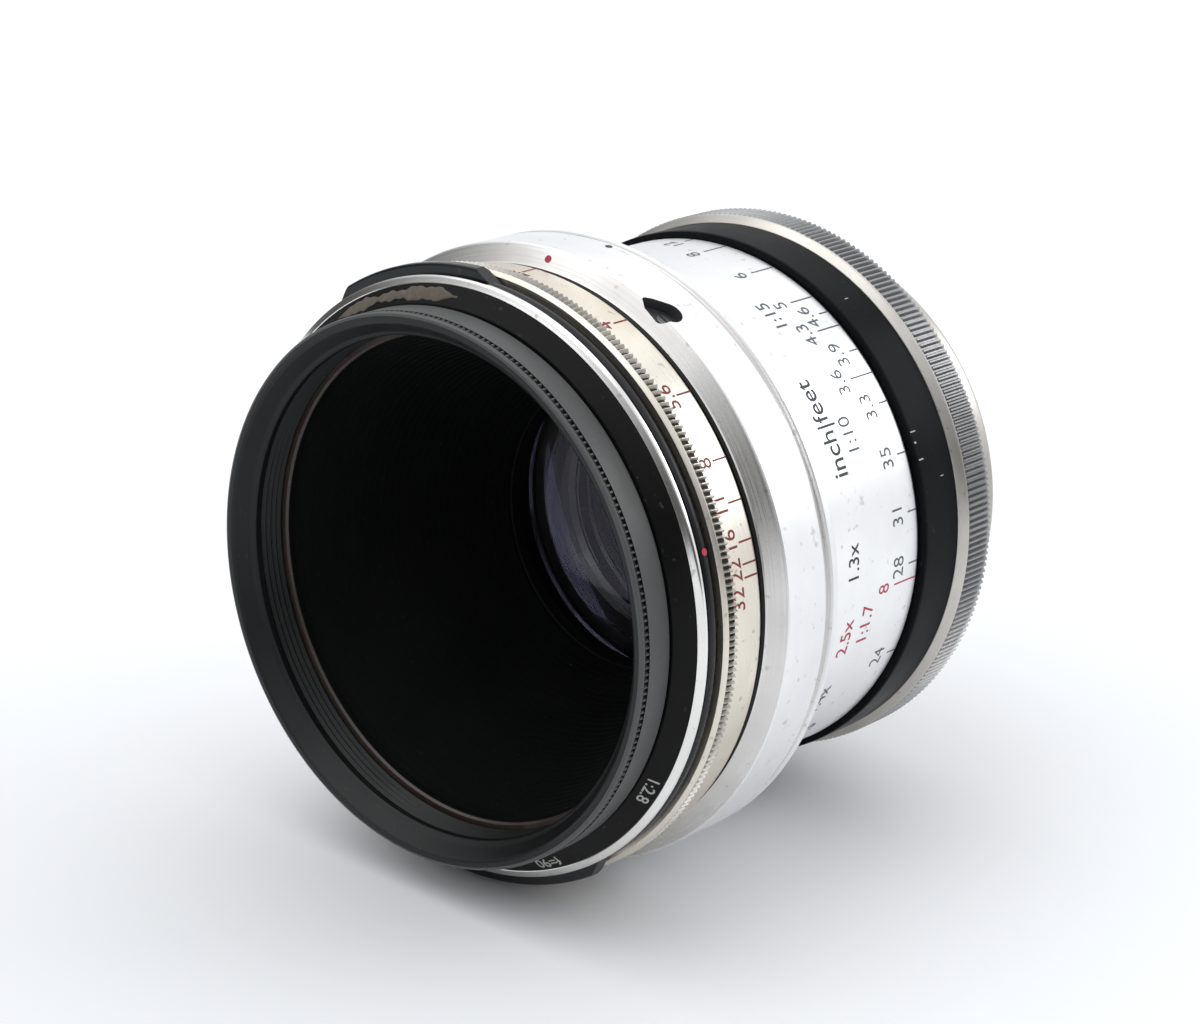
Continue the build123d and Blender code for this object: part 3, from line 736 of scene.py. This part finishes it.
def carved(mesh, cutters):
    # the mesh with each cutter taken out of it
    scene = bpy.context.scene.collection.objects
    target = bpy.data.objects.new("carving", mesh)
    scene.link(target)
    helpers = []
    for cutter in cutters:
        helper = bpy.data.objects.new("cutter", cutter)
        scene.link(helper)
        helpers.append(helper)
        modifier = target.modifiers.new("cut", "BOOLEAN")
        modifier.operation, modifier.solver, modifier.object = "DIFFERENCE", "EXACT", helper
        modifier.material_mode = "TRANSFER"
    graph = bpy.context.evaluated_depsgraph_get()
    result = bpy.data.meshes.new_from_object(target.evaluated_get(graph))
    for helper in [target] + helpers:
        bpy.data.objects.remove(helper)
    return result


def makeBand(values):
    low, _ = boxOf("index_band")
    outer = radiusOf("index_band")
    points = [(5.3, 0), (2.3, 0), (2.05, 0.28), (1.95, 0.45), (0.12, 1.52), (0.0, 1.68), (0, 7.75),
              (0.1, 7.85), (0.3, 7.9), (0.52, 8.05), (0.6, 8.3), (0.6, 8.6), (0.52, 8.85), (0.3, 9.0),
              (0.1, 9.05), (0.02, 9.12), (0, 9.3), (0.06, 9.5), (0.25, 9.66), (0.5, 9.7), (5.3, 9.7)]
    mesh = painted(latheMesh("bandBody", placed("index_band", points), steps=320), "satinSilver")
    mesh.materials.append(finishes["bevelGrey"])
    mesh.materials.append(finishes["cellBlack"])
    for face in mesh.polygons:
        back = (face.center.y - low.y) / mm
        # the band's thin front face is painted black: a painted shade line where the band meets the ring in
        # front
        if back < 0.3:
            face.material_index = 2
        elif back < 1.6 or 7.95 < back < 9.0:
            face.material_index = 1
    cutter = dropCutter(values, outer, low.y + values["screwBack"] * mm)
    result = carved(mesh, [cutter])
    result.name = "indexBand"
    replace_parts(newPiece("indexBand", result, "head"), "index_band")


makeBand(band)

turnedPiece("scale_tube", "focus_sleeve", "satin_aluminium", "satinSilver",
            [(6.2, 0), (0.45, 0), (0.1, 0.12), (0.0, 0.35), (0.0, 0.85), (0.12, 1.05), (0.5, 1.2),
             (3.4, 1.35), (3.58, 1.42), (3.6, 1.55), (3.6, 20.2), (3.68, 20.4), (3.9, 20.5), (4.6, 20.5),
             (4.6, 1.6), (6.2, 1.6)], steps=320)
print("band and scale tube made")


# the head's outer thread, which shows when the lens is racked out

headThread = {"pitch": 1.5, "starts": 16, "depth": 0.35, "bore": 24.9, "outer": 26.1, "rowStep": 0.25,
              "keyWays": 3, "keyWayHalf": 3.2, "keyWayDepth": 0.85, "steps": 360, "sharp": 60}


def makeHeadThread(values):
    low, high = boxOf("head_helicoid")
    flange, flangeRear = radiusOf("head_helicoid"), low.y + 2.1 * mm
    bore, outer = values["bore"] * mm, values["outer"] * mm
    start = flangeRear + 0.3 * mm
    rows = int((high.y - start) / (values["rowStep"] * mm))
    work = bmesh.new()
    loops = []
    for step in range(values["steps"]):
        degrees = 360 * step / values["steps"]
        turn = math.radians(degrees)
        fromKeyWay = abs((degrees + 60) % (360 / values["keyWays"]) - 60)
        outline = [(bore, low.y), (flange, low.y), (flange, flangeRear), (outer, flangeRear)]
        for k in range(rows + 1):
            place = start + (high.y - start) * k / rows
            phase = (place / (values["pitch"] * mm) + values["starts"] * step / values["steps"]) % 1
            cut = values["depth"] * min(1, max(0, 2 - 4.5 * abs(phase - 0.5) * 2 + 0.4))
            if fromKeyWay < values["keyWayHalf"]:
                cut = values["keyWayDepth"]
            outline.append((outer - cut * mm, place))
        outline.append((bore, high.y))
        loops.append([work.verts.new((r * math.sin(turn), y, r * math.cos(turn))) for r, y in outline])
    for here, after in zip(loops, loops[1:] + loops[:1]):
        skin(work, here, after)
    mesh = meshFrom(work, "headThread", values["sharp"])
    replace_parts(newPiece("headThread", mesh, "head", "threadGrey"), "head_helicoid")


makeHeadThread(headThread)


# base barrel, clamp ring and mount

turnedPiece("base_barrel", "base", "black_paint", "baseBlack",
            [(2.0, 0), (0.3, 0), (0.08, 0.08), (0.0, 0.3), (0, 6.0), (0.08, 6.1), (1.1, 6.1), (1.1, 10.4),
             (3.1, 10.4), (3.1, 8.4), (2.0, 8.4)])

clamp = {"knurls": 276, "knurlHeight": 0.42}


def makeClamp(values):
    low, _ = boxOf("clamp_ring")
    outer = radiusOf("clamp_ring")
    points = [(2.15, 0), (1.06, 0.0), (0.98, 0.04), (0.3, 0.72), (0.22, 0.85), (0.2, 0.95), (2.15, 0.95)]
    lip = painted(latheMesh("clampLip", placed("clamp_ring", points), steps=320), "rearNickel")
    points = [(2.15, 0.95), (0.55, 0.95), (0.55, 5.0), (0.6, 5.3), (0.95, 5.55), (1.2, 5.6), (4.3, 5.6),
              (4.3, 5.1), (1.8, 5.1), (1.8, 4.3), (2.15, 4.3)]
    ring = painted(latheMesh("clampBody", placed("clamp_ring", points), steps=320), "knurlNickel")
    pitch = 2 * math.pi * outer / values["knurls"]
    ridge = ridgeMesh("clampRidge", outer - 0.55 * mm, low.y + 0.9 * mm, low.y + 5.2 * mm, pitch * 0.72,
                      values["knurlHeight"] * mm, 0.34, 0.6)
    knurl = repeatRound("clampKnurl", ridge, values["knurls"], "knurlNickel", wobble=0.05, seed=5)
    piece = newPiece("clampRing", joinMeshes("clampRing", [lip, ring, knurl]), "base")
    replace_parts(piece, "clamp_ring")


makeClamp(clamp)


def makeMount():
    low, high = boxOf("mount_adapter")
    flange, front = radiusOf("mount_adapter"), low.y
    rim, thread, bore, deep = 27.05 * mm, 20.95 * mm, 19.2 * mm, 26.3 * mm
    outline = [(deep, front), (flange, front), (flange, front + 0.8 * mm), (rim, front + 0.8 * mm),
               (rim, -0.5 * mm), (rim - 0.12 * mm, -0.12 * mm), (rim - 0.4 * mm, 0), (thread + 0.6 * mm, 0),
               (thread - 0.5 * mm, 0.02 * mm), (thread - 0.5 * mm, 0.5 * mm)]
    place, pitch = 0.5 * mm, 1.0 * mm
    while place + pitch < high.y - 0.2 * mm:
        outline += [(thread - 0.62 * mm, place + 0.12 * mm), (thread - 0.04 * mm, place + 0.46 * mm),
                    (thread - 0.04 * mm, place + 0.58 * mm), (thread - 0.62 * mm, place + 0.92 * mm)]
        place += pitch
    outline += [(thread - 0.6 * mm, high.y - 0.1 * mm), (thread - 0.9 * mm, high.y), (bore, high.y),
                (bore, -1.4 * mm), (deep, -1.4 * mm)]
    mesh = latheMesh("mountAdapter", outline)
    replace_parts(newPiece("mountAdapter", mesh, "base", "rearNickel"), "mount_adapter")


makeMount()
print("base and mount made")


# numbers, lines and dots, bent round the rings

def bentMesh(name, flat, surface, finish):
    # a flat mesh in (u, v) laid onto the lens by surface(u, v, height)
    work = bmesh.new()
    work.from_mesh(flat)
    reach = [v.co.x for v in work.verts]
    step = 0.5 * mm
    at = min(reach) + step
    while at < max(reach):
        everything = work.verts[:] + work.edges[:] + work.faces[:]
        bmesh.ops.bisect_plane(work, geom=everything, plane_co=(at, 0, 0), plane_no=(1, 0, 0))
        at += step
    for vert in work.verts:
        vert.co = surface(vert.co.x, vert.co.y, vert.co.z)
    return painted(meshFrom(work, name), finish)


def textMesh(text, size, bold=0.0):
    # flat, slightly raised lettering centred on its own middle
    curve = bpy.data.curves.new("lettering", "FONT")
    curve.body, curve.size = text, size * mm
    curve.align_x, curve.align_y = "CENTER", "CENTER"
    curve.extrude, curve.offset = 0.012 * mm, bold * mm
    curve.resolution_u = 4
    holder = bpy.data.objects.new("lettering", curve)
    bpy.context.scene.collection.objects.link(holder)
    graph = bpy.context.evaluated_depsgraph_get()
    mesh = bpy.data.meshes.new_from_object(holder.evaluated_get(graph))
    bpy.data.objects.remove(holder)
    return mesh


def barMesh(width, length):
    # one engraved line, width round the ring and length along the axis
    mesh = bpy.data.meshes.new("bar")
    w, h, t = width * mm / 2, length * mm / 2, 0.012 * mm
    corners = [(x, y, z) for z in (-t, t) for x, y in ((-w, -h), (w, -h), (w, h), (-w, h))]
    faces = [(3, 2, 1, 0), (4, 5, 6, 7), (0, 1, 5, 4), (1, 2, 6, 5), (2, 3, 7, 6), (3, 0, 4, 7)]
    mesh.from_pydata(corners, [], faces)
    return mesh


def discMesh(radius):
    # a small flat round spot
    work = bmesh.new()
    bmesh.ops.create_cone(work, cap_ends=True, segments=24, radius1=radius * mm, radius2=radius * mm,
                          depth=0.03 * mm)
    mesh = bpy.data.meshes.new("disc")
    work.to_mesh(mesh)
    work.free()
    return mesh


def onTube(radius, place, angle):
    # text runs towards smaller angles with its top towards the front
    def surface(u, v, height):
        turn = math.radians(angle) - u / radius
        r = radius + height + 0.012 * mm
        return (r * math.sin(turn), place - v, r * math.cos(turn))
    return surface


def onCone(radius, place, angle, rise, back):
    # text on a bevel that widens by rise and goes back by back per unit of height
    def surface(u, v, height):
        r = radius + v * rise
        turn = math.radians(angle) + u / radius
        lift = height + 0.015 * mm
        return ((r + lift * back) * math.sin(turn), place + v * back - lift * rise,
                (r + lift * back) * math.cos(turn))
    return surface


nameBevel = {"radius": 30.95, "back": 0.74, "rise": 0.81, "slope": 0.587}


def onNameBevel(angle):
    low, _ = boxOf("name_ring")
    return onCone(nameBevel["radius"] * mm, low.y + nameBevel["back"] * mm, angle, nameBevel["rise"],
                  nameBevel["slope"])


apertureScale = {
    "marks": (("2.8", 0.0), ("4", 22.9), ("5.6", 41.1), ("8", 54.5), ("11", 62.4), ("16", 69.6),
              ("22", 73.6), ("32", 76.0)),
    "shifts": {"16": -0.6, "22": 0.7, "32": 3.6}, "inward": 0.9, "tickBack": 1.3, "numberBack": 3.45,
    "size": 2.55, "tickLength": 2.1, "tickWidth": 0.2,
}


def makeApertureScale(values):
    radius = radiusOf("preset_ring") - values["inward"] * mm
    _, high = boxOf("preset_ring")
    parts = []
    for text, angle in values["marks"]:
        tick = barMesh(values["tickWidth"], values["tickLength"])
        surface = onTube(radius, high.y - values["tickBack"] * mm, angle)
        parts.append(bentMesh("tick", tick, surface, "darkRedInk"))
        shift = values["shifts"].get(text, 0.0)
        letters = textMesh(text, values["size"], 0.0)
        surface = onTube(radius, high.y - values["numberBack"] * mm, angle + shift)
        parts.append(bentMesh("number", letters, surface, "darkRedInk"))
    newPiece("apertureScale", joinMeshes("apertureScale", parts), "preset")


makeApertureScale(apertureScale)

distanceScale = {
    # text, angle, long line, ink
    "near": (("∞", -21.5, True, "blueInk"), ("12", -7.5, False, "blueInk"), ("8", 1.5, True, "blueInk"),
             ("6", 14.5, True, "blueInk"), ("5", 26.0, True, "blueInk"), ("4.6", 30.8, False, "blueInk"),
             ("4.3", 34.7, True, "blueInk"), ("3.9", 41.2, False, "blueInk"), ("3.6", 47.0, True, "blueInk"),
             ("3.3", 53.7, False, "blueInk"), ("35", 64.9, False, "blueInk"), ("31", 77.1, False, "blueInk"),
             ("28", 88.2, False, "blueInk"), ("8", 91.8, True, "redInk"), ("24", 109.7, False, "blueInk"),
             ("20", 141.5, False, "blueInk"), ("17", 177.6, False, "blueInk"),
             ("15", 212.5, False, "blueInk"), ("13", 262.0, False, "blueInk"),
             ("12", 295.7, False, "blueInk"), ("11", 326.0, False, "blueInk")),
    "ratios": (("1:15", 28.0, "blueInk"), ("1:10", 58.0, "blueInk"), ("1:1.7", 98.8, "redInk"),
               ("1:5", 130.0, "blueInk"), ("1:4", 168.0, "blueInk"), ("1:3", 231.0, "blueInk"),
               ("1:2.5", 281.0, "blueInk")),
    "notes": (("1.3x", 83.7, "blackInk"), ("2.5x", 100.4, "redInk"), ("1.4x", 117.0, "blueInk"),
              ("1.5x", 148.0, "blueInk"),
              ("1.8x", 237.0, "blueInk"), ("2x", 292.0, "blueInk")),
    "units": ("inch|feet", 55.0, 3.25),
    "size": 2.6, "shortLine": 1.5, "longLine": 3.9, "lineWidth": 0.17, "radius": 30.0,
    "lineBack": 0.3, "numberBack": 2.1, "ratioBack": 8.5, "noteBack": 11.8,
}


def makeDistanceScale(values):
    radius, rear = values["radius"] * mm, boxOf("scale_tube")[1].y
    parts = []
    for text, angle, isLong, ink in values["near"]:
        length = values["longLine"] if isLong else values["shortLine"]
        line = barMesh(values["lineWidth"], length)
        surface = onTube(radius, rear - (values["lineBack"] + length / 2) * mm, angle)
        parts.append(bentMesh("line", line, surface, ink))
        letters = textMesh(text, values["size"], -0.02)
        surface = onTube(radius, rear - (length + values["numberBack"]) * mm, angle)
        parts.append(bentMesh("number", letters, surface, ink))
    for text, angle, ink in values["ratios"]:
        letters = textMesh(text, values["size"], 0.0)
        parts.append(bentMesh("ratio", letters, onTube(radius, rear - values["ratioBack"] * mm, angle), ink))
    for text, angle, ink in values["notes"]:
        letters = textMesh(text, values["size"], 0.0)
        parts.append(bentMesh("note", letters, onTube(radius, rear - values["noteBack"] * mm, angle), ink))
    text, angle, size = values["units"]
    letters = textMesh(text, size, 0.02)
    surface = onTube(radius, rear - values["noteBack"] * mm, angle)
    parts.append(bentMesh("units", letters, surface, "blackInk"))
    newPiece("distanceScale", joinMeshes("distanceScale", parts), "focus_sleeve")


makeDistanceScale(distanceScale)

marks = {"indexDot": 0.42, "grooveDot": 0.4, "ringDot": 0.38, "baseLine": -21.5}


def makeMarks(values):
    outer = radiusOf("index_band")
    low, _ = boxOf("index_band")
    bevel = onCone(outer - 1.05 * mm, low.y + 0.98 * mm, 0.0, 0.86, 0.51)
    dot = bentMesh("indexDot", discMesh(values["indexDot"]), bevel, "redInk")
    newPiece("indexDot", dot, "head")
    groove = onTube(outer, low.y + 7.3 * mm, 4.8)
    newPiece("grooveDot", bentMesh("grooveDot", discMesh(values["grooveDot"]), groove, "blackInk"),
             "head")
    stopLow, stopHigh = boxOf("stop_down_ring")
    ringDot = onTube(32.7 * mm, (stopLow.y + stopHigh.y) / 2, 69.0)
    newPiece("stopDot", bentMesh("stopDot", discMesh(values["ringDot"]), ringDot, "redInk"),
             "stop_down")
    baseLow, _ = boxOf("base_barrel")
    line = onTube(radiusOf("base_barrel"), baseLow.y + 1.9 * mm, values["baseLine"])
    newPiece("baseIndex", bentMesh("baseIndex", barMesh(0.3, 3.2), line, "whiteInk"), "base")
    parts = []
    for text, angle in (("1:2.8", 118.0), ("f=90", 152.0), ("mm", 169.0)):
        parts.append(bentMesh("name", textMesh(text, 1.9, 0.01), onNameBevel(angle), "whiteInk"))
    newPiece("frontLettering", joinMeshes("frontLettering", parts), "head")


makeMarks(marks)

wear = {"glueStart": -37.0, "glueEnd": -3.0, "glueWidth": 1.7, "glueHeight": 0.09, "columns": 150, "rows": 9,
        "underside": 0.06, "sharp": 180,
        "scratches": ((61.5, 0.7, 0.14, 0.9), (63.8, 0.55, 0.22, 0.35), (67.4, 0.8, 0.16, 0.8),
                      (72.0, 3.9, 0.10, 0.5), (30.0, 2.7, 0.10, 0.6))}


def makeWear(values):
    # dried glue left on the name bevel, and bare scratches on the black barrel
    work = bmesh.new()
    grid = []
    count, rows = values["columns"], values["rows"]
    span = values["glueEnd"] - values["glueStart"]
    for k in range(count + 1):
        share = k / count
        turn = values["glueStart"] + span * share
        ragged = 0.5 + 0.22 * math.sin(9 * share + 1)
        ragged += 0.16 * math.sin(31 * share) + 0.1 * math.sin(83 * share)
        fade = min(1, 7 * share, 7 * (1 - share))
        half = values["glueWidth"] / 2 * mm * max(0.12, fade * min(1, ragged + 0.25))
        surface = onNameBevel(turn)
        line = []
        for j in range(rows + 1):
            across = 2 * j / rows - 1
            lump = 0.6 + 0.4 * math.sin(57 * share + 5 * across) * math.sin(21 * share - 7 * across)
            rise = values["glueHeight"] * mm * lump * (1 - across ** 4)
            line.append(work.verts.new(surface(0, half * across, rise)))
        grid.append(line)
    for k in range(count):
        for j in range(rows):
            work.faces.new((grid[k][j], grid[k][j + 1], grid[k + 1][j + 1], grid[k + 1][j]))
    under = [[work.verts.new(surfaceUnder(v.co, values["underside"] * mm)) for v in line] for line in grid]
    for k in range(count):
        for j in range(rows):
            work.faces.new((under[k][j], under[k + 1][j], under[k + 1][j + 1], under[k][j + 1]))
    border = [(k, 0) for k in range(count + 1)] + [(count, j) for j in range(1, rows + 1)]
    border += [(k, rows) for k in range(count - 1, -1, -1)] + [(0, j) for j in range(rows - 1, 0, -1)]
    for (a, b), (c, d) in zip(border, border[1:] + border[:1]):
        work.faces.new((grid[a][b], grid[c][d], under[c][d], under[a][b]))
    mesh = meshFrom(work, "glueResidue", values["sharp"])
    newPiece("glueResidue", mesh, "head", "glueBrown")
    baseLow, _ = boxOf("base_barrel")
    parts = []
    for turn, back, width, length in values["scratches"]:
        line = onTube(radiusOf("base_barrel"), baseLow.y + back * mm, turn)
        parts.append(bentMesh("scratch", barMesh(width, length), line, "whiteInk"))
    newPiece("baseScratches", joinMeshes("baseScratches", parts), "base")


def surfaceUnder(point, depth):
    # the same place, a little nearer to the lens axis
    outward = Vector((point.x, 0, point.z)).normalized()
    return point - outward * depth


makeWear(wear)
print("scales and marks made")


# floor and light

stage = {"floor": -34.35, "sky": (0.95, 0.97, 1.0), "dark": (0.10, 0.098, 0.095), "skyStrength": 0.93,
         "half": 3.0, "centre": (0, -0.03, 0),
         "lights": (("windowLight", (-0.25, 0.25, 0.75), (1.0, 1.0), 1.5),
                    ("backLight", (0.45, 0.6, 0.42), (0.6, 0.35), 1.6),
                    ("frontLight", (-0.35, -0.65, 1.0), (1.2, 1.2), 4.2))}


def areaLight(name, place, target, size, power):
    data = bpy.data.lights.new(name, "AREA")
    data.shape, data.size, data.size_y = "RECTANGLE", size[0], size[1]
    data.energy = power
    light = bpy.data.objects.new(name, data)
    light.location = place
    light.rotation_euler = (Vector(target) - Vector(place)).to_track_quat("-Z", "Y").to_euler()
    bpy.context.scene.collection.objects.link(light)


def makeSky(values):
    # bright overhead and behind the lens, dark from where the viewer stands
    world = bpy.data.worlds.new("sky")
    world.use_nodes = True
    tree = world.node_tree
    parts = tree.nodes.new("ShaderNodeSeparateXYZ")
    tree.links.new(tree.nodes.new("ShaderNodeTexCoord").outputs["Generated"], parts.inputs[0])
    shares = []
    for axis, start, end in ((2, 0.12, 0.62), (1, 0.05, 0.6)):
        share = tree.nodes.new("ShaderNodeMapRange")
        share.interpolation_type = "SMOOTHSTEP"
        share.inputs["From Min"].default_value, share.inputs["From Max"].default_value = start, end
        tree.links.new(parts.outputs[axis], share.inputs["Value"])
        shares.append(share.outputs[0])
    brighter = tree.nodes.new("ShaderNodeMath")
    brighter.operation = "MAXIMUM"
    tree.links.new(shares[0], brighter.inputs[0])
    tree.links.new(shares[1], brighter.inputs[1])
    blend = tree.nodes.new("ShaderNodeMix")
    blend.data_type = "RGBA"
    sockets = {s.identifier: s for s in blend.inputs}
    tree.links.new(brighter.outputs[0], sockets["Factor_Float"])
    sockets["A_Color"].default_value = (*values["dark"], 1)
    sockets["B_Color"].default_value = (*values["sky"], 1)
    background = tree.nodes["Background"]
    tree.links.new(next(s for s in blend.outputs if s.identifier == "Result_Color"), background.inputs[0])
    background.inputs[1].default_value = values["skyStrength"]
    bpy.context.scene.world = world


def makeStage(values):
    mesh = bpy.data.meshes.new("floor")
    half, low = values["half"], values["floor"] * mm
    mesh.from_pydata([(-half, -half, low), (half, -half, low), (half, half, low), (-half, half, low)],
                     [], [(0, 1, 2, 3)])
    graph = Graph("floorPaper")
    cloud = graph.noise(6, 3)
    graph.set(base_color=graph.mix(cloud, (0.86, 0.875, 0.89), (0.88, 0.885, 0.90)), roughness=0.8,
              specular_level=0.0)
    mesh.materials.append(graph.material)
    floor = bpy.data.objects.new("floor", mesh)
    bpy.context.scene.collection.objects.link(floor)
    makeSky(values)
    for name, place, size, power in values["lights"]:
        areaLight(name, place, values["centre"], size, power)


makeStage(stage)
bpy.context.scene.view_settings.view_transform = "Standard"
print("stage made")
